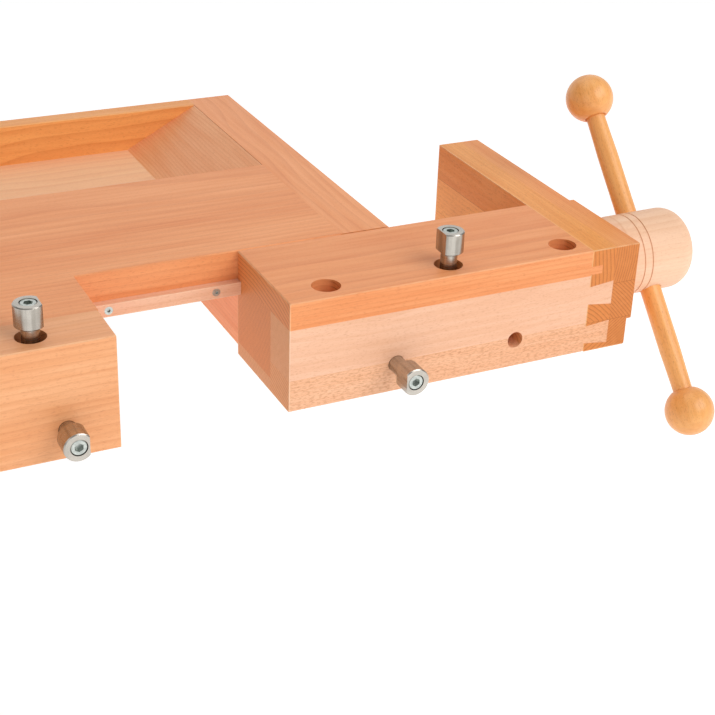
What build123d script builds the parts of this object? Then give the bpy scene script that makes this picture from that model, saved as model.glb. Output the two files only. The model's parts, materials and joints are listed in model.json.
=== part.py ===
"""Tail vise of a wooden workbench, with the end section of the bench that carries it.

+X runs along the bench towards the handle, +Y from the front to the back, +Z up.
The origin is the middle of the bolt holes in the underside of the bearer.
"""

import math
import os

from build123d import *

# bench
height = 120.0  # benchtop surface above the underside of the rails
rail_width = 57.0
slab_thickness = 50.0
slab_back = 358.0  # from the front face to the tray
bench_depth = 612.0
back_rail_width = 24.0
section_left = 720.0  # left cut of the bench, from the end piece's outer face
end_cap_inner = 289.2
end_cap_outer = 232.4
notch_face = 581.0  # fixed jaw face
notch_depth = 138.0
fixed_jaw_thickness = 37.0
tray_floor_thickness = 12.0
floor_lap = 30.0  # tray floor under the slab
rail_groove_depth = 8.0  # for the tray floor, in the back rail
tray_ramp_run = 92.0
ramp_top = 0.8  # ramp's upper edge below the surface

# end cap
tongue_front = 50.0  # tongue inside the vise block, from the front face
tongue_depths = (30.5, 76.0)
cap_bolts = [(195.0, 25.0), (325.0, 25.0)]  # distance back and depth of each bolt
cap_bolt_reach = 62.0  # into the slab
cap_bolt_sink = 12.0  # counterbore in the end cap
cap_bolt_sink_radius = 9.0
barrel_nut_radius = 8.0
barrel_nut_reach = 55.0  # from the end cap to the nut's axis
barrel_nut_over = 10.0  # from the bolt's axis to the nut's upper end

# vise block and end piece
block_width = 137.0
block_left = 408.0
top_layer = 29.0
middle_layer = 56.0
strip_width = 48.0
jaw_head_length = 60.0
guide_board_thickness = 15.0
end_piece_width = 60.0
end_piece_length = 345.0
board_thickness = 30.0
pad_thickness = 6.6
pad_length = 131.0
pad_height = 89.0
tails = [(42.5, 62.7, 39.3, 66.8), (89.3, 109.6, 86.5, 113.5)]  # depths at the root and at the tip
cover_tongue = (18.5, 28.0, 14.0)  # two depths and a length

# screw, nut and guides
axis_back = 67.7  # screw axis behind the front face
axis_depth = 46.5  # screw axis below the surface
screw_radius = 12.0
screw_end = 340.0
screw_bore = 12.6  # radius of the hole through the end piece
nut_radius = 15.0
nut_flange = 8.0
nut_flange_backs = (51.5, 84.0)
nut_flange_depths = (31.0, 75.0)
collar_radius = 17.5
collar_pin_radius = 2.5
collar_recess = 19.0
collar_space = 16.0  # depth of the recess behind the collar
washer_radius = 30.0
washer_thickness = 3.0
recess_washer_thickness = 2.0
rod_radius = 10.0
rod_back = 285.0
rod_depth = 92.0
rod_start = 16.0
rod_end = 440.0
rod_relief = 1.0  # radial clearance of the rod where it has no bush
rod_bolt_reach = 30.0  # tapped depth in the rod's end
rod_washer_radius = 11.0
rod_washer_thickness = 2.0
bush_radius = 14.0
bush_length = 40.0
guide_rail_depths = (32.0, 46.0)
guide_rail_out = 10.0
guide_play = 0.5  # of the jaw head on the guide rail
running = 0.05  # radial clearance of a shaft in its hole
gap = 0.3  # clearance between faces that move past each other

# hub and handle
hub_radius = 45.8
hub_length = 106.5
hub_round = 27.0
hub_base = (12.0, 0.6, 3.5)  # length of the tapered foot, and how far it stands in at either end
hub_grooves = (27.0, 37.4)
hub_groove_width = 1.4
hub_groove_depth = 1.2
hub_socket = 32.0  # screw's length inside the hub
hub_pin_radius = 3.0
hub_pin_out = 18.0
handle_out = 50.3  # handle axis from the end piece's face
handle_tilt = 42.1  # degrees from upright, top towards the back
handle_radius = 11.75
handle_end_radius = 10.75
ball_radius = 27.3
handle_taper = 40.0  # length of the bar's slimmer ends
handle_running = 0.3  # radial clearance in the cross hole
ball_reach = 189.0
ball_seat = 3.0  # depth of the bar's shoulder inside the ball
tenon_radius = 8.0
tenon_past = 12.0  # tenon's end past the middle of the ball
ring_outer = 15.0  # rubber ring in the cross hole
ring_width = 4.0

# bench dogs
hole_radius = 9.0
recess_radius = 15.0
recess_depth = 24.0
hole_row = 26.85  # top holes behind the front face
front_row = 88.2  # front holes below the surface
vise_top_holes = [82.15, 219.9, 357.7]
vise_front_holes = [148.3, 289.0]
bench_top_hole = 653.9
bench_front_hole = 631.9
vise_top_lift = 15.0  # heads above the surface
bench_top_lift = 12.0
vise_front_lift = 21.0
bench_front_lift = 14.0
head_radius = 14.6
head_height = 23.0
head_flat = 10.3  # flat to axis
head_bevel = 1.0
head_bore = 8.5  # counterbore for the screw's head
head_bore_depth = 10.8
dog_screw_sink = 0.5
dog_screw_reach = 20.0  # into the stem
stem_radius = 8.75
top_stem = 96.0
front_stem = 74.0
ring_places = (26.0, 44.0)  # rubber rings, from the stem's top
ring_groove_width = 2.4
ring_groove_depth = 1.6

# M10 bolts and countersunk wood screws
bolt_radius = 5.0
bolt_head_radius = 8.0
bolt_head_length = 10.0
bolt_hexagon = 8.0
bolt_hole = 5.2
bearer_screw_radius = 4.0
tray_screw_radius = 2.2
nut_screw_radius = 2.5
small_screw_length = 40.0
long_screw_tip = 20.0  # depth of the bearer screws' tips
tray_screw_tip = 25.0

# bearer and its bolt holes
bearer_right = 330.0
bearer_width = 70.0
bearer_front = 150.0
bearer_back = 588.0
bolt_spacing = 300.0
bearer_hole_radius = 5.5
bearer_hole_depth = 40.0

edge = 1.2  # eased edges of the wood
past = 1.0  # how far a cut runs past the face it opens

# places of the three datum faces in the part's own frame
face_x = bearer_right + bearer_width / 2
front_y = -(bearer_front + bearer_back) / 2
layers = [0, top_layer, top_layer + middle_layer, height]


def along(distance):
    """X of a place that lies this far left of the end piece's outer face."""
    return face_x - distance


def behind(distance):
    """Y of a place this far behind the front face."""
    return front_y + distance


def below(depth):
    """Z of a place this far below the benchtop."""
    return height - depth


def block(lefts, backs, depths):
    """A board between two distances left, two distances back and two depths."""
    x = sorted(along(d) for d in lefts)
    y = sorted(behind(d) for d in backs)
    z = sorted(below(d) for d in depths)
    size = [b - a for a, b in (x, y, z)]
    middle = [(a + b) / 2 for a, b in (x, y, z)]
    return Pos(*middle) * Box(*size)


def point(left, back, depth):
    return Vector(along(left), behind(back), below(depth))


def on_axis(left):
    """A point on the screw's axis."""
    return point(left, axis_back, axis_depth)


def rod(radius, start, end):
    """A cylinder from one point to another."""
    line = end - start
    plane = Plane(origin=start, z_dir=line.normalized())
    return plane * Cylinder(radius, line.length, align=(Align.CENTER, Align.CENTER, Align.MIN))


def cone(radius, end_radius, start, end):
    line = end - start
    plane = Plane(origin=start, z_dir=line.normalized())
    return plane * Cone(radius, end_radius, line.length, align=(Align.CENTER, Align.CENTER, Align.MIN))


def ring(radius, hole, start, end):
    return rod(radius, start, end) - rod(hole, start, end)


def eased(solid, *lines, size=edge):
    """Chamfers the edges that lie on two planes, each line being a pair of (axis, value)."""
    chosen = []
    for line in lines:
        for candidate in solid.edges():
            ends = [candidate.start_point(), candidate.end_point()]
            if all(abs(getattr(p, axis) - value) < 0.01 for p in ends for axis, value in line):
                chosen.append(candidate)
    return chamfer(chosen, size)


def save(name, *solids):
    """Writes one node, as one solid or as a group of separate solids."""
    shape = solids[0] if len(solids) == 1 else Compound(children=list(solids))
    export_step(shape, f"parts/{name}.step")


# holes for the dogs
def top_hole(left):
    """A stepped hole from the surface down through the rail."""
    recess = rod(recess_radius, point(left, hole_row, -past), point(left, hole_row, recess_depth))
    return recess + rod(hole_radius, point(left, hole_row, 0), point(left, hole_row, height + past))


def front_hole(left, width):
    return rod(hole_radius, point(left, -past, front_row), point(left, width + past, front_row))


# the bench's fixed section
def front_rail():
    """The front rail, left of the opening."""
    rail = block((section_left, notch_face), (0, rail_width), (0, height))
    surface = ("Z", below(0))
    right = ("X", along(notch_face))
    front = ("Y", behind(0))
    rail = eased(rail, [surface, front], [surface, right], [front, right], [("Z", below(height)), front])
    return rail - top_hole(bench_top_hole) - front_hole(bench_front_hole, rail_width)


def top_slab():
    slab = block((section_left, end_cap_inner), (rail_width, slab_back), (0, slab_thickness))
    slab -= block(
        (notch_face, end_cap_inner - past),
        (rail_width - past, notch_depth),
        (-past, slab_thickness + past),
    )
    surface = ("Z", below(0))
    slab = eased(slab, [surface, ("Y", behind(slab_back))], [surface, ("Y", behind(notch_depth))])
    for bolt in cap_bolts:
        slab -= rod(bolt_radius, point(end_cap_inner - past, *bolt), cap_bolt_tip(bolt))
        slab -= barrel_nut(bolt)
    places = bearer_screw_places() + tray_screw_places() + guide_rail_screw_places()
    return without_screws(slab, places)


def fixed_jaw():
    """The block under the slab that backs the fixed jaw face."""
    return block(
        (notch_face + fixed_jaw_thickness, notch_face), (rail_width, notch_depth), (slab_thickness, height)
    )


def tray_floor():
    floor = block(
        (section_left, end_cap_inner),
        (slab_back - floor_lap, bench_depth - back_rail_width + rail_groove_depth),
        (slab_thickness, slab_thickness + tray_floor_thickness),
    )
    return without_screws(floor, tray_screw_places())


def tray_ramp():
    """The sloped block at the end of the tray, for sweeping it clean."""
    outline = Polyline(
        (along(end_cap_inner), below(ramp_top)),
        (along(end_cap_inner), below(slab_thickness)),
        (along(end_cap_inner + tray_ramp_run), below(slab_thickness)),
        close=True,
    )
    width = bench_depth - back_rail_width - slab_back
    plane = Plane(origin=(0, behind(slab_back + width), 0), x_dir=(1, 0, 0), z_dir=(0, -1, 0))
    return extrude(plane * make_face(outline), width)


def back_rail():
    inner = bench_depth - back_rail_width
    rail = block((section_left, end_cap_inner), (inner, bench_depth), (0, height))
    surface = ("Z", below(0))
    rail = eased(rail, [surface, ("Y", behind(inner))], [surface, ("Y", behind(bench_depth))])
    return rail - block(
        (section_left + past, end_cap_inner - past),
        (inner - past, inner + rail_groove_depth),
        (slab_thickness, slab_thickness + tray_floor_thickness),
    )


def end_cap():
    """The bench's end board, with a tongue inside the vise block that carries the nut."""
    cap = block((end_cap_inner, end_cap_outer), (notch_depth, bench_depth), (0, height))
    outer = ("X", along(end_cap_outer))
    surface = ("Z", below(0))
    back = ("Y", behind(bench_depth))
    cap = eased(cap, [surface, outer], [surface, back], [outer, back])
    cap += block((end_cap_inner, end_cap_outer), (tongue_front, notch_depth), tongue_depths)
    cap -= screw_nut(bored=False)
    cap -= rod_space(bush_radius, end_cap_outer, end_cap_outer + bush_length)
    cap -= rod_space(rod_radius + rod_relief, end_cap_outer, end_cap_inner + past)
    for bolt in cap_bolts:
        sink = point(end_cap_outer + cap_bolt_sink, *bolt)
        cap -= rod(bolt_radius, point(end_cap_outer, *bolt), point(end_cap_inner + past, *bolt))
        cap -= rod(cap_bolt_sink_radius, point(end_cap_outer - past, *bolt), sink)
    return without_screws(cap, nut_screw_places())


def cap_bolt_tip(bolt):
    return point(end_cap_inner + cap_bolt_reach, *bolt)


def barrel_nut(bolt):
    back, depth = bolt
    left = end_cap_inner + barrel_nut_reach
    return rod(
        barrel_nut_radius, point(left, back, slab_thickness), point(left, back, depth - barrel_nut_over)
    )


def barrel_nuts():
    """Cross nuts in the slab's underside, which the end cap's bolts screw into."""
    return [
        barrel_nut(bolt) - rod(bolt_radius, point(end_cap_inner, *bolt), cap_bolt_tip(bolt))
        for bolt in cap_bolts
    ]


def socket_bolt(start, end):
    """An M10 socket-head bolt: start is the middle of the head's face, end the tip."""
    line = (end - start).normalized()
    bolt = rod(bolt_head_radius, start, start + line * bolt_head_length)
    rim = bolt.edges().filter_by(GeomType.CIRCLE).sort_by_distance(start)[0]
    bolt = chamfer(rim, 0.6) + rod(bolt_radius, start, end)
    hexagon = Plane(origin=start, z_dir=line) * RegularPolygon(bolt_hexagon / 2, 6, major_radius=False)
    return bolt - extrude(hexagon, bolt_head_length / 2)


def screw_space(start, end, radius):
    """The room that a countersunk screw takes: start is the middle of its head's face."""
    line = (end - start).normalized()
    return cone(2 * radius, radius, start, start + line * 1.2 * radius) + rod(radius, start, end)


def wood_screw(start, end, radius):
    plane = Plane(origin=start, z_dir=(end - start).normalized())
    socket = extrude(plane * RegularPolygon(0.8 * radius, 6, major_radius=False), 0.8 * radius)
    return screw_space(start, end, radius) - socket


def screws(places):
    return [wood_screw(*place) for place in places]


def without_screws(solid, places):
    for place in places:
        solid -= screw_space(*place)
    return solid


def end_cap_bolts():
    head = end_cap_outer + cap_bolt_sink - bolt_head_length
    return [socket_bolt(point(head, *bolt), cap_bolt_tip(bolt)) for bolt in cap_bolts]


def bearer():
    """The cross member under the slab, which rests on the bench's base and carries a rod bush."""
    lefts = (bearer_right, bearer_right + bearer_width)
    wood = block(lefts, (bearer_front, bearer_back), (slab_thickness, height))
    wood -= block(
        (bearer_right - past, bearer_right + bearer_width + past),
        (slab_back - floor_lap, bearer_back + past),
        (slab_thickness - past, slab_thickness + tray_floor_thickness),
    )
    for side in (-1, 1):
        y = side * bolt_spacing / 2
        wood -= rod(bearer_hole_radius, Vector(0, y, -past), Vector(0, y, bearer_hole_depth))
    wood -= rod_space(bush_radius, bearer_right, bearer_right + bush_length)
    wood -= rod_space(rod_radius + rod_relief, bearer_right, bearer_right + bearer_width + past)
    return without_screws(wood, bearer_screw_places())


def bearer_screw_places():
    """Four long screws from below, into the slab."""
    places = [(left, back) for left in (347, 383) for back in (180, 250)]
    return [
        (point(left, back, height), point(left, back, long_screw_tip), bearer_screw_radius)
        for left, back in places
    ]


def tray_screw_places():
    back = slab_back - floor_lap / 2
    low = slab_thickness + tray_floor_thickness
    return [
        (point(left, back, low), point(left, back, tray_screw_tip), tray_screw_radius)
        for left in (450, 530, 610, 690)
    ]


def rod_space(radius, right, left):
    return rod(radius, point(right, rod_back, rod_depth), point(left, rod_back, rod_depth))


def guide_bushes():
    return [
        rod_space(bush_radius, right, right + bush_length)
        - rod_space(rod_radius + running, right - past, right + bush_length + past)
        for right in (end_cap_outer, bearer_right)
    ]


def guide_rail():
    """The wooden strip on the slab's edge that carries the free end of the block."""
    strip = block(
        (notch_face, end_cap_inner), (notch_depth - guide_rail_out, notch_depth), guide_rail_depths
    )
    return without_screws(strip, guide_rail_screw_places())


def guide_rail_screw_places():
    depth = sum(guide_rail_depths) / 2
    start = notch_depth - guide_rail_out
    return [
        (point(left, start, depth), point(left, start + small_screw_length, depth), tray_screw_radius)
        for left in (320, 435, 550)
    ]


def screw_nut(bored=True):
    """The nut: a barrel through the end cap's tongue, with a flange let into its outer face."""
    barrel = rod(nut_radius, on_axis(end_cap_inner), on_axis(end_cap_outer))
    flange = block((end_cap_outer, end_cap_outer + nut_flange), nut_flange_backs, nut_flange_depths)
    if not bored:
        return barrel + flange
    bore = rod(screw_radius + running, on_axis(end_cap_inner + past), on_axis(end_cap_outer - past))
    return without_screws(barrel + flange - bore, nut_screw_places())


def nut_screw_places():
    depth = nut_flange_depths[1] - 6
    backs = [side + inward for side, inward in zip(nut_flange_backs, (6, -6))]
    ends = (end_cap_outer, end_cap_outer + small_screw_length)
    return [(point(ends[0], back, depth), point(ends[1], back, depth), nut_screw_radius) for back in backs]


# the sliding vise block
def dovetail(root_low, root_high, tip_low, tip_high, length=board_thickness):
    """A tail that runs from the block into the end piece, wider at its tip."""
    start = end_piece_width
    outline = Polyline(
        (along(start), below(root_low)),
        (along(start - length), below(tip_low)),
        (along(start - length), below(tip_high)),
        (along(start), below(root_high)),
        close=True,
    )
    plane = Plane(origin=(0, behind(strip_width), 0), x_dir=(1, 0, 0), z_dir=(0, -1, 0))
    return extrude(plane * make_face(outline), strip_width)


def vise_holes():
    holes = [top_hole(left) for left in vise_top_holes]
    return holes + [front_hole(left, strip_width) for left in vise_front_holes]


def cover_board():
    cover = block((block_left, end_piece_width), (0, block_width), (0, top_layer))
    surface = ("Z", below(0))
    left = ("X", along(block_left))
    back = ("Y", behind(block_width))
    cover = eased(cover, [surface, ("Y", behind(0))], [surface, back], [surface, left])
    low, high, length = cover_tongue
    cover += dovetail(low, high, low, high, length)
    for left_of in vise_top_holes:
        cover -= top_hole(left_of)
    return cover


def dog_strip(first, last, tail):
    """One layer of the block's front strip, with the dovetail at its end."""
    strip = block((block_left, end_piece_width), (0, strip_width), (first, last))
    if last == height:
        strip = eased(strip, [("Z", below(height)), ("Y", behind(0))])
    strip += dovetail(*tail)
    for hole in vise_holes():
        strip -= hole
    return strip


def jaw_head():
    """The solid moving jaw at the block's free end, grooved for the guide rail."""
    low, high = guide_rail_depths
    head = block(
        (block_left, block_left - jaw_head_length),
        (strip_width, block_width),
        (top_layer, height - guide_board_thickness),
    )
    return head - block(
        (block_left + past, block_left - jaw_head_length - past),
        (notch_depth - guide_rail_out - guide_play, block_width + past),
        (low - guide_play, high + guide_play),
    )


def guide_board():
    return block(
        (block_left, end_piece_width),
        (strip_width, block_width),
        (height - guide_board_thickness, height),
    )


def end_piece_inner():
    wood = block((end_piece_width, end_piece_width - board_thickness), (0, end_piece_length), (0, height))
    surface = ("Z", below(0))
    inner = ("X", along(end_piece_width))
    back = ("Y", behind(end_piece_length))
    wood = eased(wood, [surface, back], [inner, back], [("Z", below(height)), inner], [("Z", below(height)), back])
    for tail in tails:
        wood -= dovetail(*tail)
    low, high, length = cover_tongue
    wood -= dovetail(low, high, low, high, length)
    wood -= rod(collar_recess, on_axis(end_piece_width + past), on_axis(end_piece_width - collar_space))
    wood -= rod(screw_bore, on_axis(end_piece_width), on_axis(0))
    return wood - rod_space(rod_radius, end_piece_width - board_thickness - past, end_piece_width + past)


def end_piece_outer():
    """The outer board, with the raised pad that the hub turns against."""
    wood = block((end_piece_width - board_thickness, pad_thickness), (0, end_piece_length), (0, height))
    surface = ("Z", below(0))
    outer = ("X", along(pad_thickness))
    back = ("Y", behind(end_piece_length))
    wood = eased(wood, [surface, back], [outer, back], [("Z", below(height)), outer], [("Z", below(height)), back])
    pad = block((pad_thickness, 0), (0, pad_length), (0, pad_height))
    pad_face = ("X", along(0))
    pad = eased(
        pad,
        [surface, pad_face],
        [("Y", behind(0)), pad_face],
        [("Y", behind(pad_length)), pad_face],
        [("Z", below(pad_height)), pad_face],
    )
    wood += pad
    wood -= rod(screw_bore, on_axis(end_piece_width), on_axis(-past))
    wood -= rod(washer_radius, on_axis(washer_thickness), on_axis(-past))
    wood -= rod_space(rod_radius, rod_start, end_piece_width)
    return wood - rod_space(bolt_hole, -past, rod_start + past)


def thrust_washers():
    """A washer in the pad under the hub, and one in the recess behind the collar."""
    inner_face = end_piece_width - collar_space
    return [
        ring(washer_radius, screw_radius + running, on_axis(washer_thickness), on_axis(0)),
        ring(
            collar_recess,
            screw_radius + running,
            on_axis(inner_face + recess_washer_thickness),
            on_axis(inner_face),
        ),
    ]


def guide_rod():
    steel = rod_space(rod_radius, rod_start, rod_end)
    steel = chamfer(steel.edges().sort_by(Axis.X)[0], 1.5)
    return steel - rod_space(bolt_radius, rod_start - past, rod_start + rod_bolt_reach)


def rod_washer():
    outer = pad_thickness - rod_washer_thickness
    return rod_space(rod_washer_radius, outer, pad_thickness) - rod_space(bolt_hole, outer, pad_thickness)


def rod_bolt():
    head = pad_thickness - rod_washer_thickness - bolt_head_length
    return socket_bolt(
        point(head, rod_back, rod_depth), point(rod_start + rod_bolt_reach - 1, rod_back, rod_depth)
    )


# screw, hub and handle
def spindle():
    steel = rod(screw_radius, on_axis(screw_end), on_axis(-hub_socket))
    steel = chamfer(steel.edges().sort_by(Axis.X)[0], 2)
    return steel - hub_pin() - collar_pin()


def collar_edges():
    """The collar's two faces, clear of the washer and of the nut's flange when the vise is shut."""
    return end_piece_width - 0.5, end_piece_width - collar_space + recess_washer_thickness + gap


def retaining_collar():
    outer, inner = collar_edges()
    return ring(collar_radius, screw_radius, on_axis(outer), on_axis(inner)) - collar_pin()


def collar_pin():
    middle = on_axis(sum(collar_edges()) / 2)
    half = Vector(0, 0, collar_radius - 1)
    return rod(collar_pin_radius, middle - half, middle + half)


def hub_pin():
    middle = on_axis(-hub_pin_out)
    half = Vector(0, hub_radius - 4, 0)
    return rod(hub_pin_radius, middle - half, middle + half)


def handle_direction():
    tilt = math.radians(handle_tilt)
    return Vector(0, math.sin(tilt), math.cos(tilt))


def handle_point(distance):
    """A point on the handle's axis, at this distance from the screw's axis."""
    return on_axis(-handle_out) + handle_direction() * distance


def hub():
    """A turned hub with a domed end, two fine grooves and a cross hole for the handle."""
    start = gap + 0.1
    foot, foot_top, foot_bottom = hub_base
    shoulder = (hub_length - hub_round, hub_radius)
    rim = (hub_length - 4, hub_radius - hub_round + 5)
    face = (hub_length, 9)
    outline = [
        Line((start, 0), (start, hub_radius - foot_bottom)),
        Line((start, hub_radius - foot_bottom), (foot, hub_radius - foot_top)),
        Line((foot, hub_radius - foot_top), shoulder),
        TangentArc(shoulder, rim, tangent=(1, 0)),
        Line(rim, face),
        Line(face, (hub_length, 0)),
        Line((hub_length, 0), (start, 0)),
    ]
    plane = Plane(origin=on_axis(0), x_dir=(1, 0, 0), z_dir=(0, -1, 0))
    wood = revolve(plane * make_face(Wire(outline)), Axis(on_axis(0), (1, 0, 0)))
    for groove in hub_grooves:
        ends = on_axis(-groove), on_axis(-groove - hub_groove_width)
        wood -= ring(hub_radius + past, hub_radius - hub_groove_depth, *ends)
    wood -= rod(screw_radius, on_axis(past), on_axis(-hub_socket))
    reach = hub_radius + past
    wood -= rod(handle_radius + handle_running, handle_point(-reach), handle_point(reach))
    wood -= rod(ring_outer, handle_point(-ring_width / 2), handle_point(ring_width / 2))
    return wood - hub_pin()


def handle_ring():
    """A rubber ring in the cross hole, which holds the handle where it is put."""
    return ring(
        ring_outer, handle_radius + running, handle_point(-ring_width / 2), handle_point(ring_width / 2)
    )


def handle_bar():
    shoulder = ball_reach - ball_radius + ball_seat
    slim = shoulder - handle_taper
    bar = rod(handle_radius, handle_point(-slim), handle_point(slim))
    for side in (-1, 1):
        end = handle_point(side * shoulder)
        bar += cone(handle_radius, handle_end_radius, handle_point(side * slim), end)
        bar += rod(tenon_radius, end, handle_point(side * (ball_reach + tenon_past)))
    return bar


def ball(side):
    """A turned ball, counterbored so that the bar's shoulder seats in it."""
    middle = handle_point(side * ball_reach)
    shoulder = ball_reach - ball_radius + ball_seat
    tip = handle_point(side * (ball_reach + tenon_past))
    wood = Pos(*middle) * Sphere(ball_radius)
    wood -= rod(handle_end_radius + 0.5, handle_point(side * (shoulder - 12)), handle_point(side * shoulder))
    return wood - rod(tenon_radius, handle_point(side * (shoulder - past)), tip)


# bench dogs
def dog(name, foot, outward, flat, stem_length):
    """A round dog: foot is the middle of the head's inner face, flat the way its flat side looks."""
    top = foot + outward * head_height
    head = chamfer(rod(head_radius, foot, top).edges().filter_by(GeomType.CIRCLE), head_bevel)
    across = Plane(origin=foot + flat * head_flat - outward, x_dir=outward, z_dir=flat)
    cut = Box(4 * head_height, 4 * head_radius, head_radius, align=(Align.CENTER, Align.CENTER, Align.MIN))
    head -= across * cut
    head -= rod(head_bore, top - outward * head_bore_depth, top + outward)
    head -= rod(bolt_hole, foot - outward, top)
    save(name + "_head", head)

    screw_tip = foot - outward * dog_screw_reach
    save(name + "_screw", socket_bolt(top - outward * dog_screw_sink, screw_tip))

    stem_top = foot - outward * gap
    tip = stem_top - outward * stem_length
    stem = rod(stem_radius, stem_top, tip)
    stem = chamfer(stem.edges().filter_by(GeomType.CIRCLE).sort_by_distance(tip)[0], 1.5)
    stem -= rod(bolt_radius, stem_top + outward, screw_tip)
    rings = []
    groove_radius = stem_radius - ring_groove_depth
    for distance in ring_places:
        start = stem_top - outward * distance
        end = start - outward * ring_groove_width
        stem -= ring(stem_radius + past, groove_radius, start, end)
        rings.append(ring(hole_radius - running, groove_radius, start, end))
    save(name + "_stem", stem)
    save(name + "_rings", *rings)


def dogs():
    up = Vector(0, 0, 1)
    out = Vector(0, -1, 0)
    left = Vector(-1, 0, 0)
    right = Vector(1, 0, 0)
    dog("vise_top_dog", point(vise_top_holes[1], hole_row, -vise_top_lift), up, left, top_stem)
    dog("bench_top_dog", point(bench_top_hole, hole_row, -bench_top_lift), up, right, top_stem)
    dog("vise_front_dog", point(vise_front_holes[1], -vise_front_lift, front_row), out, left, front_stem)
    dog("bench_front_dog", point(bench_front_hole, -bench_front_lift, front_row), out, right, front_stem)


def main():
    os.makedirs("parts", exist_ok=True)
    save("front_rail", front_rail())
    save("top_slab", top_slab())
    save("fixed_jaw", fixed_jaw())
    save("tray_floor", tray_floor())
    save("tray_ramp", tray_ramp())
    save("back_rail", back_rail())
    save("end_cap", end_cap())
    save("end_cap_bolts", *end_cap_bolts())
    save("barrel_nuts", *barrel_nuts())
    save("bearer", bearer())
    save("bearer_screws", *screws(bearer_screw_places()))
    save("tray_screws", *screws(tray_screw_places()))
    save("guide_bushes", *guide_bushes())
    save("guide_rail", guide_rail())
    save("guide_rail_screws", *screws(guide_rail_screw_places()))
    save("screw_nut", screw_nut())
    save("nut_screws", *screws(nut_screw_places()))
    save("cover_board", cover_board())
    save("strip_middle", dog_strip(layers[1], layers[2], tails[0]))
    save("strip_lower", dog_strip(layers[2], layers[3], tails[1]))
    save("jaw_head", jaw_head())
    save("guide_board", guide_board())
    save("end_piece_inner", end_piece_inner())
    save("end_piece_outer", end_piece_outer())
    save("thrust_washers", *thrust_washers())
    save("guide_rod", guide_rod())
    save("rod_bolt", rod_bolt())
    save("rod_washer", rod_washer())
    save("spindle", spindle())
    save("retaining_collar", retaining_collar())
    save("collar_pin", collar_pin())
    save("hub", hub())
    save("hub_pin", hub_pin())
    save("handle_ring", handle_ring())
    save("handle_bar", handle_bar())
    save("ball_upper", ball(1))
    save("ball_lower", ball(-1))
    dogs()


main()
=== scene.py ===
import json
import math

import bmesh
import bpy
from mathutils import Matrix, Vector


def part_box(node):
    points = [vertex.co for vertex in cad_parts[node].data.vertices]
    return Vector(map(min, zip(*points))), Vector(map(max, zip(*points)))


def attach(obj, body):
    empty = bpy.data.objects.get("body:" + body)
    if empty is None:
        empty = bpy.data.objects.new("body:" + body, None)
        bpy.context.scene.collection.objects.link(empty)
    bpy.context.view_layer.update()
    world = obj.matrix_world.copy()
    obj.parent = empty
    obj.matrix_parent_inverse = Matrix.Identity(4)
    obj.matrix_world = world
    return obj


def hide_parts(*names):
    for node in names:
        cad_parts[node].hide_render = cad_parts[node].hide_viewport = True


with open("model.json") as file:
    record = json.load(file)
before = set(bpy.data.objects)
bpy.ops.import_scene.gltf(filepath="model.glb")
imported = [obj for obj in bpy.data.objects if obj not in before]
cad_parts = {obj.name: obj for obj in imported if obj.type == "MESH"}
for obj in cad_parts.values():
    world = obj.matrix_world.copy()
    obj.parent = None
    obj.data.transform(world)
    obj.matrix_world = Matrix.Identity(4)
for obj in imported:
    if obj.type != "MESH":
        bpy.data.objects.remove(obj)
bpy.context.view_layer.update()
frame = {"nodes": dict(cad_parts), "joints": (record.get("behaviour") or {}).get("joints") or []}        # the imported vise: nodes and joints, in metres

nodes = frame["nodes"]
joints = {joint["name"]: joint for joint in frame["joints"]}
bpy.context.scene.view_settings.view_transform = "Standard"
print("frame loaded:", len(nodes), "nodes")


def tone(red, green, blue):    # a colour as seen on screen, 0 to 255, made linear
    parts = [c / 255 for c in (red, green, blue)]
    return [c / 12.92 if c < 0.04045 else ((c + 0.055) / 1.055) ** 2.4 for c in parts] + [1.0]


def middleOf(name):
    low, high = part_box(name)
    return (low + high) / 2


# shader sums written as plain arithmetic
class Wire:
    def __init__(self, graph, socket):
        self.graph = graph
        self.socket = socket

    def maths(self, operation, first, second=None):
        sockets = {0: first}
        if second is not None:
            sockets[1] = second
        return self.graph.add("ShaderNodeMath", {"operation": operation}, sockets)

    def __add__(self, other):
        return self.maths("ADD", self, other)

    def __radd__(self, other):
        return self.maths("ADD", other, self)

    def __sub__(self, other):
        return self.maths("SUBTRACT", self, other)

    def __rsub__(self, other):
        return self.maths("SUBTRACT", other, self)

    def __mul__(self, other):
        return self.maths("MULTIPLY", self, other)

    def __truediv__(self, other):
        return self.maths("DIVIDE", self, other)

    def __pow__(self, other):
        return self.maths("POWER", self, other)

    def __abs__(self):
        return self.maths("ABSOLUTE", self)

    def root(self):
        return self.maths("SQRT", self)

    def fraction(self):
        return self.maths("FRACT", self)

    def least(self, other):
        return self.maths("MINIMUM", self, other)

    def between(self, low, high):    # 0 below low, 1 above high, smooth between
        sockets = {"Value": self, "From Min": low, "From Max": high}
        return self.graph.add("ShaderNodeMapRange", {"interpolation_type": "SMOOTHSTEP"}, sockets)


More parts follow.
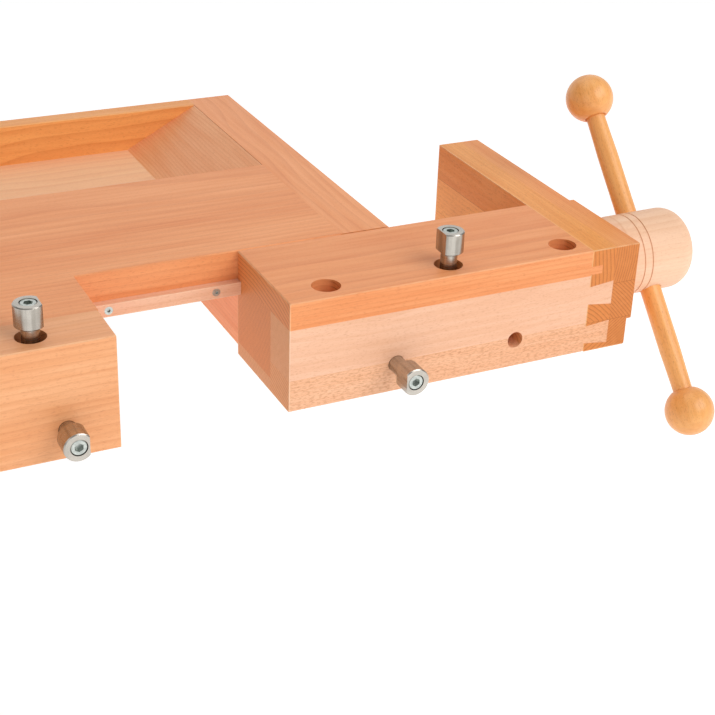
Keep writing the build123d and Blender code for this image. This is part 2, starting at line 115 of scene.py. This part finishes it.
class Graph:
    def __init__(self, material):
        material.use_nodes = True
        self.tree = material.node_tree
        self.tree.nodes.clear()

    def add(self, kind, settings=None, sockets=None, out=0):
        node = self.tree.nodes.new(kind)
        for key, value in (settings or {}).items():
            setattr(node, key, value)
        for key, value in (sockets or {}).items():
            if isinstance(value, Wire):
                self.tree.links.new(value.socket, node.inputs[key])
            else:
                node.inputs[key].default_value = value
        return Wire(self, node.outputs[out])

    def parts(self, vector):
        return [self.add("ShaderNodeSeparateXYZ", {}, {0: vector}, out=i) for i in range(3)]

    def point(self, x, y, z):
        return self.add("ShaderNodeCombineXYZ", {}, {0: x, 1: y, 2: z})

    def noise(self, vector, scale=1.0, detail=2.0):
        return self.add("ShaderNodeTexNoise", {}, {"Vector": vector, "Scale": scale, "Detail": detail})

    def mix(self, factor, first, second):
        sockets = {0: factor, 6: first, 7: second}    # 6 and 7 are the node's two colours
        return self.add("ShaderNodeMix", {"data_type": "RGBA"}, sockets, out=2)

    def bump(self, height, strength, distance):
        sockets = {"Strength": strength, "Distance": distance, "Height": height}
        return self.add("ShaderNodeBump", {}, sockets)

    def finish(self, **sockets):
        named = {key.replace("_", " "): value for key, value in sockets.items()}
        self.output(self.add("ShaderNodeBsdfPrincipled", {}, named))

    def output(self, shader):
        node = self.tree.nodes.new("ShaderNodeOutputMaterial")
        self.tree.links.new(shader.socket, node.inputs["Surface"])


# along, across and up for wood or steel that runs along each axis
axisOrder = {"x": (0, 1, 2), "y": (1, 0, 2), "z": (2, 0, 1)}
# the figures in beech: how fine each is along the grain, across and up, then its detail
figures = {
    "sway": (2.2, 7, 7, 2), "uneven": (5, 30, 30, 2), "broad": (1.6, 16, 16, 3), "streaks": (9, 190, 190, 3),
    "fibres": (45, 1300, 1300, 2), "pores": (30, 2600, 2600, 1), "shortRays": (260, 1500, 1300, 1),
    "longRays": (210, 900, 760, 2),
}


def figure(g, kind, place, seed):
    *scales, detail = figures[kind]
    along, across, up = (part * scale for part, scale in zip(place, scales))
    return g.noise(g.point(along + seed, across, up), detail=detail)


def woodPlace(g, look):    # where a point is and which way it faces, turned with a slanted piece
    place = g.add("ShaderNodeTexCoord", out="Object")
    facing = g.add("ShaderNodeTexCoord", out="Normal")
    if look.get("turn"):
        settings = {"rotation_type": "X_AXIS"}
        sockets = {"Center": look["centre"], "Angle": look["turn"]}
        place = g.add("ShaderNodeVectorRotate", settings, {"Vector": place, **sockets})
        facing = g.add("ShaderNodeVectorRotate", settings, {"Vector": facing, "Angle": look["turn"]})
    return place, facing


# where boards are glued in a stack, each has its own pith and a slightly different tone; a stack level can
# also paint shade on every face below it
def stackedLayersAndShade(look, up):
    pithAcross, pithUp = look["pith"]
    seed, layerToneAndShade, glue = look["seed"], 0.0, 0.0
    for level, moveAcross, moveUp, lift in look.get("stack", []):
        below = (level - up).between(0.0, 0.0002)
        pithAcross = below * moveAcross + pithAcross
        pithUp = below * moveUp + pithUp
        seed = below * 4.3 + seed
        layerToneAndShade = below * lift + layerToneAndShade
        glue = 1 - abs(up - level).between(0.0001, 0.0005) + glue
    return (pithAcross, pithUp), seed, layerToneAndShade, glue


# growth rings round a pith line somewhere outside the board, wandering along the grain
def growthRings(g, look, place, pith, seed):
    sway = figure(g, "sway", place, seed) - 0.5
    sideways = place[1] - pith[0] + sway * look.get("wander", 0.03)
    upward = place[2] - pith[1] + sway * 0.02
    radius = (sideways * sideways + upward * upward).root()
    turn = (radius / look.get("ring", 0.0042) + figure(g, "uneven", place, seed) * 0.7).fraction()
    edge = turn ** 3
    return edge, edge * (1 - turn.between(0.93, 1.0))


# the small dark flecks that mark beech
def rayFlecks(g, look, place, seed):
    start = look.get("dense", 0.57)
    short = figure(g, "shortRays", place, seed).between(0.60, 0.70)
    long = figure(g, "longRays", place, seed).between(start, start + 0.09)
    return short * 0.5 + long * look.get("fleck", 0.2)


# end grain is darker, drinks more finish and shows the rings and the pores
def endGrain(g, look, edge, pores, streaks):
    colour = g.mix(edge.between(0.1, 1.0) * 0.65, tone(*look["end"]), tone(*look["endLate"]))
    colour = g.mix(pores.between(0.52, 0.68) * 0.3, colour, tone(*look["endLate"]))
    return g.mix(streaks.between(0.35, 0.75) * 0.12, colour, tone(*look["light"]))


# painted highlight along a board's exposed edges, standing in for light catching the arris, from how close a
# point is to two sides of its board
def paintedEdgeHighlight(g, look, place, xyz):
    closeness = 0.0
    for part, start, end in zip(xyz, *look["box"]):
        closeness = 1 - abs(part - start).least(abs(part - end)).between(0.0, 0.0019) + closeness
    patchy = g.noise(place, scale=90, detail=2).between(0.25, 0.6)
    return closeness.between(1.15, 1.75) * (patchy * 0.6 + 0.4)


def beech(name, look):
    material = bpy.data.materials.new(name)
    g = Graph(material)
    point, facing = woodPlace(g, look)
    xyz = g.parts(point)
    order = axisOrder[look["grain"]]
    place = [xyz[i] for i in order]
    endness = abs(g.parts(facing)[order[0]]).between(0.55, 0.85)
    pith, seed, layerToneAndShade, glue = stackedLayersAndShade(look, place[2])
    edge, lateness = growthRings(g, look, place, pith, seed)
    broad = figure(g, "broad", place, seed)
    streaks = figure(g, "streaks", place, seed)
    fibres = figure(g, "fibres", place, seed)
    pores = figure(g, "pores", place, seed)
    rays = rayFlecks(g, look, place, seed)
    sideRays = rays * (1 - endness)
    late = tone(*look["late"])

    shade = broad.between(0.30, 0.70) * 0.55 + streaks.between(0.30, 0.72) * 0.45 - layerToneAndShade
    colour = g.mix(shade, tone(*look["light"]), tone(*look["dark"]))
    colour = g.mix(lateness * look.get("rings", 0.35) * (1 - endness * 0.4), colour, late)
    colour = g.mix(sideRays * 0.45, colour, tone(*look["ray"]))
    colour = g.mix(fibres.between(0.55, 0.75) * 0.16, colour, late)
    colour = g.mix(endness * look.get("endShare", 1.0), colour, endGrain(g, look, edge, pores, streaks))
    if look.get("stack"):
        colour = g.mix(glue * 0.5, colour, tone(*look["endLate"]))
    rough = look.get("rough", 0.42) + (streaks - 0.5) * 0.14 + sideRays * 0.06 + endness * 0.12
    # painted highlight on the exposed edges, a little smoother there
    if look.get("box"):
        edgeHighlight = paintedEdgeHighlight(g, look, point, xyz)
        colour = g.mix(edgeHighlight * 0.5, colour, tone(*look["edgeHighlight"]))
        rough = rough - edgeHighlight * 0.08
    for groove in look.get("grooves", []):    # painted shade darkens a thin line along each groove
        grooveShade = 1 - abs(place[0] - groove).between(0.0002, 0.0019)
        colour = g.mix(grooveShade * 0.42, colour, late)
    height = fibres * 0.5 - rays * 0.5 - lateness * 0.25 - pores * endness * 0.8
    g.finish(
        Base_Color=colour,
        Roughness=rough,
        Normal=g.bump(height, look.get("relief", 0.25), 0.0003),
        Coat_Weight=look.get("coat", 0.03),
        Specular_IOR_Level=look.get("shine", 0.28),
        Coat_Roughness=look.get("coatRough", 0.28),
        IOR=1.48,
    )
    return material


# steel turned on a lathe about a node's middle, or ground along a line
def steel(name, look):
    material = bpy.data.materials.new(name)
    g = Graph(material)
    place = g.add("ShaderNodeTexCoord", out="Object")
    order = axisOrder[look["axis"]]
    xyz = g.parts(place)
    along, across, up = (xyz[i] - look["centre"][i] for i in order)
    radius = (across * across + up * up).root()
    fineness = look.get("marks", 5200)
    marks = g.noise(g.point(along * fineness, radius * fineness, 0.0), detail=3)
    haze = g.noise(place, scale=look.get("haze", 60), detail=2)
    cloud = haze.between(0.3, 0.7) * 0.6 + marks * 0.4
    if look.get("reflectionBands"):    # painted reflection: broad light and dark bands along the length of the round sides
        flatness = abs(g.parts(g.add("ShaderNodeTexCoord", out="Normal"))[order[0]]).between(0.4, 0.8)
        bandNoise = g.noise(g.point(across / radius * 2.4, up / radius * 2.4, along * 9), detail=3)
        cloud = cloud * 0.4 + bandNoise.between(0.38, 0.62) * (1 - flatness) * look["reflectionBands"]
    colour = g.mix(cloud, tone(*look["light"]), tone(*look["dark"]))
    rough = look["rough"] + (marks - 0.5) * 0.14 + (haze - 0.5) * 0.06
    g.finish(
        Base_Color=colour,
        Metallic=look.get("metal", 1.0),
        Roughness=rough,
        Normal=g.bump(marks, look.get("relief", 0.12), 0.00006),
    )
    return material


def rubber(name):
    material = bpy.data.materials.new(name)
    g = Graph(material)
    place = g.add("ShaderNodeTexCoord", out="Object")
    grain = g.noise(place, scale=1800, detail=2)
    colour = g.mix(grain.between(0.35, 0.7), tone(28, 27, 27), tone(44, 42, 40))
    g.finish(Base_Color=colour, Roughness=0.55 + grain * 0.2, Normal=g.bump(grain, 0.2, 0.0001))
    return material


def paint(material, *names):
    for name in names:
        slots = nodes[name].data.materials
        slots.clear()
        slots.append(material)


# the boards: grain direction, where the pith lies, and the colours of light and dark wood, and of the painted
# highlight on exposed edges
boardTones = {
    "orange": {
        "light": (250, 172, 116), "dark": (236, 146, 88), "late": (214, 120, 66), "ray": (186, 98, 54),
        "end": (226, 144, 84), "endLate": (162, 84, 38), "edgeHighlight": (255, 210, 160),
    },
    "rail": {
        "light": (250, 186, 136), "dark": (235, 158, 104), "late": (212, 126, 72), "ray": (188, 104, 60),
        "end": (226, 150, 94), "endLate": (160, 88, 44), "edgeHighlight": (255, 216, 172),
    },
    "pale": {
        "light": (248, 198, 166), "dark": (238, 182, 146), "late": (224, 160, 120), "ray": (192, 120, 80),
        "end": (230, 164, 112), "endLate": (170, 98, 54), "edgeHighlight": (255, 222, 190),
    },
    "flecked": {
        "light": (249, 196, 158), "dark": (240, 178, 136), "late": (224, 156, 110), "ray": (184, 108, 62),
        "end": (230, 160, 104), "endLate": (168, 94, 50), "edgeHighlight": (255, 220, 184),
    },
    "gold": {
        "light": (250, 172, 94), "dark": (234, 144, 64), "late": (204, 112, 44), "ray": (178, 92, 36),
        "end": (222, 136, 70), "endLate": (160, 82, 34), "edgeHighlight": (255, 210, 152),
    },
    "deep": {
        "light": (250, 172, 102), "dark": (236, 146, 78), "late": (206, 112, 50), "ray": (178, 88, 40),
        "end": (216, 132, 68), "endLate": (158, 78, 32), "edgeHighlight": (252, 204, 150),
    },
    "hub": {
        "light": (251, 211, 180), "dark": (243, 196, 160), "late": (228, 172, 130), "ray": (206, 142, 102),
        "end": (240, 190, 150), "endLate": (214, 152, 108),
    },
    "handle": {
        "light": (252, 184, 110), "dark": (238, 158, 80), "late": (206, 118, 52), "ray": (172, 88, 38),
        "end": (226, 144, 80), "endLate": (176, 94, 42),
    },
}
boards = {
    "front_rail": {
        "tone": "rail", "grain": "x", "pith": (-0.44, -0.10), "seed": 3.1, "ring": 0.0068, "rings": 0.34,
        "fleck": 0.12, "joined": "+y -x",
    },
    "top_slab": {
        "tone": "orange", "grain": "x", "pith": (-0.02, -0.10), "seed": 1.3, "ring": 0.0060, "rings": 0.34,
        "joined": "-y +x -x",
    },
    "fixed_jaw": {"tone": "orange", "grain": "x", "pith": (-0.1, -0.10), "seed": 9.3},
    "tray_floor": {
        "tone": "pale", "grain": "x", "pith": (0.10, -0.09), "seed": 12.1, "ring": 0.0065,
        "light": (255, 208, 166), "dark": (250, 192, 146),
    },
    "tray_ramp": {
        "tone": "orange", "grain": "y", "pith": (-0.12, -0.06), "seed": 4.4,
        "light": (255, 192, 140), "dark": (244, 166, 114),
    },
    "back_rail": {
        "tone": "deep", "grain": "x", "pith": (0.52, 0.02), "seed": 6.2, "rings": 0.42, "joined": "+x -x",
        "light": (254, 180, 106), "dark": (238, 154, 84),
    },
    "end_cap": {"tone": "orange", "grain": "y", "pith": (0.02, -0.16), "seed": 7.8, "joined": "-x -y"},
    "bearer": {"tone": "orange", "grain": "y", "pith": (0.1, -0.16), "seed": 2.6, "joined": "+z"},
    "guide_rail": {"tone": "pale", "grain": "x", "pith": (-0.4, 0.16), "seed": 3.6, "joined": "+y"},
    "cover_board": {
        "tone": "orange", "grain": "x", "pith": (-0.25, -0.20), "seed": 10.4, "ring": 0.0050, "rings": 0.38,
        "fleck": 0.12, "joined": "+x -z",
    },
    "strip_middle": {
        "tone": "pale", "grain": "x", "pith": (-0.62, 0.12), "seed": 11.9, "ring": 0.0034, "rings": 0.26,
        "fleck": 0.30, "joined": "+x +y +z -z",
    },
    "strip_lower": {
        "tone": "flecked", "grain": "x", "pith": (-0.50, 0.40), "seed": 14.2, "fleck": 0.7, "dense": 0.50,
        "joined": "+x +y +z",
    },
    "jaw_head": {"tone": "orange", "grain": "x", "pith": (-0.1, -0.05), "seed": 15.0, "joined": "-y +z -z"},
    "guide_board": {"tone": "pale", "grain": "x", "pith": (-0.5, 0.2), "seed": 16.3, "joined": "-y +x +z"},
    "end_piece_inner": {
        "tone": "gold", "grain": "y", "pith": (0.10, 0.07), "seed": 17.7, "ring": 0.0046, "rings": 0.22,
        "wander": 0.012, "fleck": 0.5, "joined": "+x",
        # the first level is painted shade, darkening every face below the top face; the other two are glued
        # layers
        "stack": [(0.1195, 0.0, 0.0, -0.5), (0.077, 0.10, -0.17, 1.25), (0.034, -0.02, 0.30, -0.45)],
    },
    "end_piece_outer": {
        "tone": "deep", "grain": "y", "pith": (0.16, 0.12), "seed": 18.9, "ring": 0.0031, "rings": 0.28,
        "wander": 0.016, "joined": "-x", "stack": [(0.077, 0.06, -0.19, 0.15), (0.034, -0.02, 0.28, 0.05)],
    },
}
farAway = 9
for name, board in boards.items():
    corners = {"-": list(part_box(name)[0]), "+": list(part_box(name)[1])}
    for side, axis in board.get("joined", "").split():    # glued sides get no painted edge highlight
        corners[side]["xyz".index(axis)] += farAway
    look = {**boardTones[board["tone"]], **board, "box": (corners["-"], corners["+"])}
    paint(beech("beech_" + name, look), name)
print("boards finished:", len(boards))


# hub and handle are turned wood, with the grain along their own axes
axisPoint = Vector(joints["screw_turn"]["pos_m"])
handleWay = Vector(joints["handle_slide"]["axis"])
handleTurn = math.atan2(handleWay.y, handleWay.z)
handleCentre = Vector((middleOf("handle_bar").x, axisPoint.y, axisPoint.z))
hubLook = {
    **boardTones["hub"], "grain": "x", "pith": (axisPoint.y - 0.03, axisPoint.z - 0.11), "seed": 21.0,
    "rings": 0.26, "ring": 0.0046, "endShare": 0.6, "rough": 0.50, "coat": 0.04,
    "grooves": [axisPoint.x + out for out in (0.0120, 0.0277, 0.0381)],
}
handleLook = {
    **boardTones["handle"], "grain": "z", "pith": (handleCentre.x + 0.05, axisPoint.y + 0.12), "seed": 23.0,
    "rings": 0.14, "ring": 0.0052, "fleck": 0.45, "endShare": 0.2, "rough": 0.36, "coat": 0.32,
    "coatRough": 0.22, "relief": 0.14, "shine": 0.4, "turn": handleTurn, "centre": handleCentre,
}
paint(beech("beech_hub", hubLook), "hub")
handleWood = beech("beech_handle", handleLook)


def asPiece(name, bm, material, smooth=True):
    mesh = bpy.data.meshes.new(name)
    bm.to_mesh(mesh)
    bm.free()
    for face in mesh.polygons:
        face.use_smooth = smooth
    mesh.materials.append(material)
    piece = bpy.data.objects.new(name, mesh)
    bpy.context.scene.collection.objects.link(piece)
    return piece


# turned pieces: rings of points about an axis, joined into a closed skin
def turned(name, outline, start, way, material, segments):
    way = way.normalized()
    side = way.orthogonal().normalized()
    other = way.cross(side)
    bm = bmesh.new()
    rings = []
    for along, radius in outline:
        centre = start + way * along
        if radius < 1e-6:
            rings.append([bm.verts.new(centre)])
            continue
        ring = []
        for i in range(segments):
            turn = 2 * math.pi * i / segments
            ring.append(bm.verts.new(centre + (side * math.cos(turn) + other * math.sin(turn)) * radius))
        rings.append(ring)
    for first, second in zip(rings, rings[1:]):
        for i in range(segments):
            j = (i + 1) % segments
            corners = [first[i % len(first)], first[j % len(first)]]
            corners += [second[j % len(second)], second[i % len(second)]]
            faceCorners = list(dict.fromkeys(corners))    # a ring of one point gives triangles
            if len(faceCorners) > 2:
                bm.faces.new(faceCorners)
    bmesh.ops.recalc_face_normals(bm, faces=bm.faces)
    return asPiece(name, bm, material)


def arc(centre, radius, first, last, steps):
    points = []
    for i in range(steps + 1):
        angle = math.radians(first + (last - first) * i / steps)
        points.append((centre[0] + radius * math.cos(angle), centre[1] + radius * math.sin(angle)))
    return points


# balls: a full round with a small seat round the bar
ballLook = {
    "size": 0.9995, "bar": 0.0118, "lip": 0.0010, "depth": 0.006, "mouth": 0.0008, "steps": 48, "segments": 96,
}


def ballPiece(node):
    low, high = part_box(node)
    centre = (low + high) / 2
    radius = (high.x - low.x) / 2 * ballLook["size"]
    outward = (centre - handleCentre).normalized()
    opening = math.degrees(math.asin((ballLook["bar"] + ballLook["lip"]) / radius))
    rim = -radius * math.cos(math.radians(opening))
    floor = rim + ballLook["depth"]
    outline = [(floor, 0.0), (floor, ballLook["bar"]), (rim + ballLook["mouth"], ballLook["bar"])]
    outline += arc((0, 0), radius, 180 - opening, 0, ballLook["steps"])
    outline[-1] = (radius, 0.0)
    piece = turned(node + "_turned", outline, centre, outward, handleWood, ballLook["segments"])
    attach(piece, "handle")
    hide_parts(node)


for node in ("ball_upper", "ball_lower"):
    ballPiece(node)


# the bar swells a little in the middle and thins towards the balls
barLook = {
    "middle": 0.01175, "end": 0.01075, "straight": 0.118, "taperStop": 0.012, "steps": 24, "segments": 64,
}


def barPiece():
    reach = (middleOf("ball_upper") - handleCentre).length
    shaped = reach - barLook["taperStop"]
    outline = [(-reach, 0.0)]
    for i in range(-barLook["steps"], barLook["steps"] + 1):
        along = shaped * i / barLook["steps"]
        share = max(0.0, (abs(along) - barLook["straight"]) / (shaped - barLook["straight"]))
        thinner = (barLook["end"] - barLook["middle"]) * math.sin(share * math.pi / 2)
        outline.append((along, barLook["middle"] + thinner))
    outline.append((reach, 0.0))
    segments = barLook["segments"]
    piece = turned("handle_bar_turned", outline, handleCentre, handleWay, handleWood, segments)
    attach(piece, "handle")
    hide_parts("handle_bar")


barPiece()
print("handle turned")


# the screw: a plain journal where it turns in the end piece, and a trapezoidal thread beyond it
screwLook = {
    "pitch": 0.006, "depth": 0.0034, "root": 0.30, "flank": 0.14, "perTurn": 40,
    "start": 0.003, "tip": 0.002, "runOut": 0.006, "overlap": 0.002,
    "chamfer": 0.0015, "nose": 0.004, "under": 0.0002, "shoulder": 0.003, "ease": 0.0008, "segments": 64,
}


def threadSkin(start, radius, bottom, threadEnd, material):
    pitch, perTurn = screwLook["pitch"], screwLook["perTurn"]
    root, flank = screwLook["root"], screwLook["flank"]
    profile = [(0.0, bottom), (root, bottom), (root + flank, radius), (1.0 - flank, radius)]
    count = int((threadEnd - screwLook["runOut"]) / pitch) * perTurn
    bm = bmesh.new()
    rows = []
    for i in range(count + 1 + perTurn):
        turn = 2 * math.pi * i / perTurn
        base = screwLook["start"] + pitch * i / perTurn - pitch
        ring = []
        for share, reach in profile:
            x = min(max(base + share * pitch, screwLook["tip"]), threadEnd)
            ring.append(bm.verts.new(start + Vector((x, math.cos(turn) * reach, math.sin(turn) * reach))))
        rows.append(ring)
    for i, row in enumerate(rows[:-1]):
        following = rows[i + 1]
        for k in range(len(profile) - 1):
            bm.faces.new([row[k], row[k + 1], following[k + 1], following[k]])
        if i + perTurn + 1 < len(rows):    # the crest runs on to the next turn's root
            bm.faces.new([row[-1], rows[i + perTurn][0], rows[i + perTurn + 1][0], following[-1]])
    bmesh.ops.remove_doubles(bm, verts=bm.verts, dist=1e-6)
    bmesh.ops.dissolve_degenerate(bm, edges=bm.edges, dist=1e-6)
    bmesh.ops.recalc_face_normals(bm, faces=bm.faces)
    return asPiece("spindle_thread", bm, material, smooth=False)


def threadedScrew(material):
    low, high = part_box("spindle")
    length = high.x - low.x
    radius = (high.z - low.z) / 2
    bottom = radius - screwLook["depth"]
    start = Vector((low.x, axisPoint.y, axisPoint.z))
    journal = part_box("retaining_collar")[0].x - screwLook["runOut"]
    threadEnd = journal - low.x + screwLook["overlap"]
    thread = threadSkin(start, radius, bottom, threadEnd, material)
    core = bottom - screwLook["under"]
    shoulder = threadEnd - screwLook["shoulder"]
    outline = [
        (0.0, 0.0), (0.0, bottom - screwLook["chamfer"]), (screwLook["chamfer"], bottom),
        (screwLook["nose"], bottom), (screwLook["nose"], core), (shoulder, core),
        (shoulder, radius - screwLook["ease"]), (threadEnd - screwLook["overlap"], radius),
        (length, radius), (length, 0.0),
    ]
    ahead = Vector((1, 0, 0))
    journalPiece = turned("spindle_journal", outline, start, ahead, material, screwLook["segments"])
    for face in journalPiece.data.polygons:
        face.use_smooth = False
    for piece in (thread, journalPiece):
        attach(piece, "screw")
    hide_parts("spindle")


threadedScrew(steel("steel_screw", {
    "axis": "x", "centre": axisPoint, "light": (190, 188, 184), "dark": (150, 148, 145), "rough": 0.30,
}))
print("screw threaded")


# dogs: turned heads, plated socket screws, stems and round rubber rings
dogLook = {
    "light": (196, 190, 181), "dark": (138, 131, 122), "rough": 0.26, "marks": 3600, "relief": 0.08,
    # the painted reflection bands on the round sides, and how strong they are
    "reflectionBands": 0.5,
}
boltLook = {"light": (206, 211, 205), "dark": (166, 172, 168), "rough": 0.30, "haze": 420}
ringLook = {"thick": 0.0012, "steps": 16, "segments": 48}
rubberBlack = rubber("rubber_black")


def dogPieces(dog, axis):
    centre = middleOf(dog + "_stem")
    paint(steel("steel_" + dog, {**dogLook, "axis": axis, "centre": centre}), dog + "_head", dog + "_stem")
    paint(steel("bolt_" + dog, {**boltLook, "axis": axis, "centre": centre}), dog + "_screw")
    low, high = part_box(dog + "_rings")
    index = "xyz".index(axis)
    way = Vector([float(i == index) for i in range(3)])
    thick = ringLook["thick"]
    outline = arc((0, (high.x - low.x) / 2 - thick), thick, 0, 360, ringLook["steps"])
    for end, start in (("a", low[index] + thick), ("b", high[index] - thick)):
        place = Vector(centre)
        place[index] = start
        name = dog + "_ring_" + end
        ringPiece = turned(name, outline, place, way, rubberBlack, ringLook["segments"])
        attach(ringPiece, dog + "_stem")
        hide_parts(dog + "_rings")


dogAxes = {"vise_top_dog": "z", "bench_top_dog": "z", "vise_front_dog": "y", "bench_front_dog": "y"}
for dog, axis in dogAxes.items():
    dogPieces(dog, axis)
print("dogs finished")


# hidden metal: rod, collar, nut, washers, bushes and fasteners
rodLook = {"axis": "x", "light": (206, 204, 200), "dark": (176, 174, 170), "rough": 0.20}
paint(steel("steel_rod", {**rodLook, "centre": middleOf("guide_rod")}), "guide_rod")
paint(steel("steel_collar", {**rodLook, "centre": axisPoint}), "retaining_collar", "collar_pin", "hub_pin")
zincNodes = [
    "end_cap_bolts", "barrel_nuts", "bearer_screws", "tray_screws", "guide_rail_screws", "nut_screws",
    "rod_bolt", "rod_washer",
]
for name in zincNodes:
    paint(steel("zinc_" + name, {**boltLook, "axis": "x", "centre": middleOf(name)}), name)
ironLook = {
    "axis": "x", "centre": middleOf("screw_nut"), "light": (78, 76, 74), "dark": (52, 50, 49),
    "rough": 0.58, "metal": 0.7, "marks": 900, "relief": 0.5, "haze": 700,
}
paint(steel("iron_nut", ironLook), "screw_nut")
bronzeLook = {"axis": "x", "light": (206, 158, 92), "dark": (176, 124, 64), "rough": 0.30}
for name in ("guide_bushes", "thrust_washers"):
    paint(steel("bronze_" + name, {**bronzeLook, "centre": middleOf(name)}), name)
paint(rubberBlack, "handle_ring")
print("metal finished")


# camera, floor and light
cameraLook = {
    "place": (-0.5820, -1.5984, 0.7733), "yaw": 27.27, "pitch": 27.66, "roll": 2.40,
    "lens": 77.92, "shift": (-0.0254, -0.0059),
}


def setCamera(look):
    yaw, pitch, roll = (math.radians(look[k]) for k in ("yaw", "pitch", "roll"))
    ahead = Vector((math.sin(yaw) * math.cos(pitch), math.cos(yaw) * math.cos(pitch), -math.sin(pitch)))
    level = Vector((math.cos(yaw), -math.sin(yaw), 0))
    upright = level.cross(ahead)
    right = level * math.cos(roll) + upright * math.sin(roll)
    up = upright * math.cos(roll) - level * math.sin(roll)
    data = bpy.data.cameras.new("camera")
    data.sensor_width = 36
    data.lens = look["lens"]
    data.shift_x, data.shift_y = look["shift"]
    data.clip_end = 100
    camera = bpy.data.objects.new("camera", data)
    turn = Matrix((right, up, -ahead)).transposed().to_4x4()
    camera.matrix_world = Matrix.Translation(look["place"]) @ turn
    bpy.context.scene.collection.objects.link(camera)
    bpy.context.scene.camera = camera


def softbox(name, look, aim):
    data = bpy.data.lights.new(name, "AREA")
    data.shape = "RECTANGLE"
    data.size, data.size_y = look["size"]
    data.energy = look["power"]
    lamp = bpy.data.objects.new(name, data)
    lamp.location = look["place"]
    lamp.rotation_euler = (aim - lamp.location).to_track_quat("-Z", "Y").to_euler()
    bpy.context.scene.collection.objects.link(lamp)


def setFloor(look):
    bm = bmesh.new()
    bmesh.ops.create_grid(bm, x_segments=8, y_segments=8, size=look["size"])
    material = bpy.data.materials.new("floor")
    g = Graph(material)
    place = g.add("ShaderNodeTexCoord", out="Object")
    colour = g.mix(g.noise(place, scale=0.8), tone(*look["light"]), tone(*look["dark"]))
    x, y, _ = g.parts(place)
    distance = (x * x + y * y).root().between(0.4, 3.2)    # less glow from just below
    glow = g.mix(distance, (look["near"],) * 3 + (1,), (1, 1, 1, 1))
    g.finish(Base_Color=colour, Roughness=0.9, Emission_Color=glow, Emission_Strength=look["glow"])
    floor = asPiece("floor", bm, material)
    floor.location = (0, 0, look["height"])


def setWorld(look):    # soft light from above, a bright wall behind and a pale horizon
    world = bpy.data.worlds.new("studio")
    bpy.context.scene.world = world
    g = Graph(world)
    way = g.parts(g.add("ShaderNodeTexCoord", out="Generated"))
    glow = way[2].between(-0.1, 0.9) * look["rise"] + look["low"]
    dim = (way[1] * 0.25 - way[0] * 0.85).between(-0.2, 0.9) * look["dim"]    # duller from the left
    wall = (way[1] * 0.9 + way[2] * 0.1).between(0.45, 0.80) * way[2].between(0.0, 0.15) * look["back"]
    horizon = 1 - abs(way[2]).between(0.03, 0.24)
    strength = glow - dim + wall + horizon * look["horizon"]
    background = g.add("ShaderNodeBackground", {}, {"Color": (1, 1, 1, 1), "Strength": strength})
    node = g.tree.nodes.new("ShaderNodeOutputWorld")
    g.tree.links.new(background.socket, node.inputs["Surface"])


setCamera(cameraLook)
floorLook = {
    "size": 60, "height": -0.78, "light": (250, 250, 249), "dark": (246, 246, 245), "glow": 0.5, "near": 0.8,
}
setFloor(floorLook)
setWorld({"low": 0.26, "rise": 0.18, "dim": 0.14, "back": 0.64, "horizon": 0.5})
softboxes = {
    "key": {"place": (1.8, -2.7, 2.5), "size": (3.4, 2.6), "power": 79},
    "fill": {"place": (-2.4, -2.5, 1.5), "size": (2.2, 1.8), "power": 11},
    "top": {"place": (0.1, 0.5, 2.6), "size": (2.4, 2.0), "power": 10},
}
for name, look in softboxes.items():
    softbox(name, look, Vector((0.1, -0.2, 0.05)))
print("camera, floor and light set")
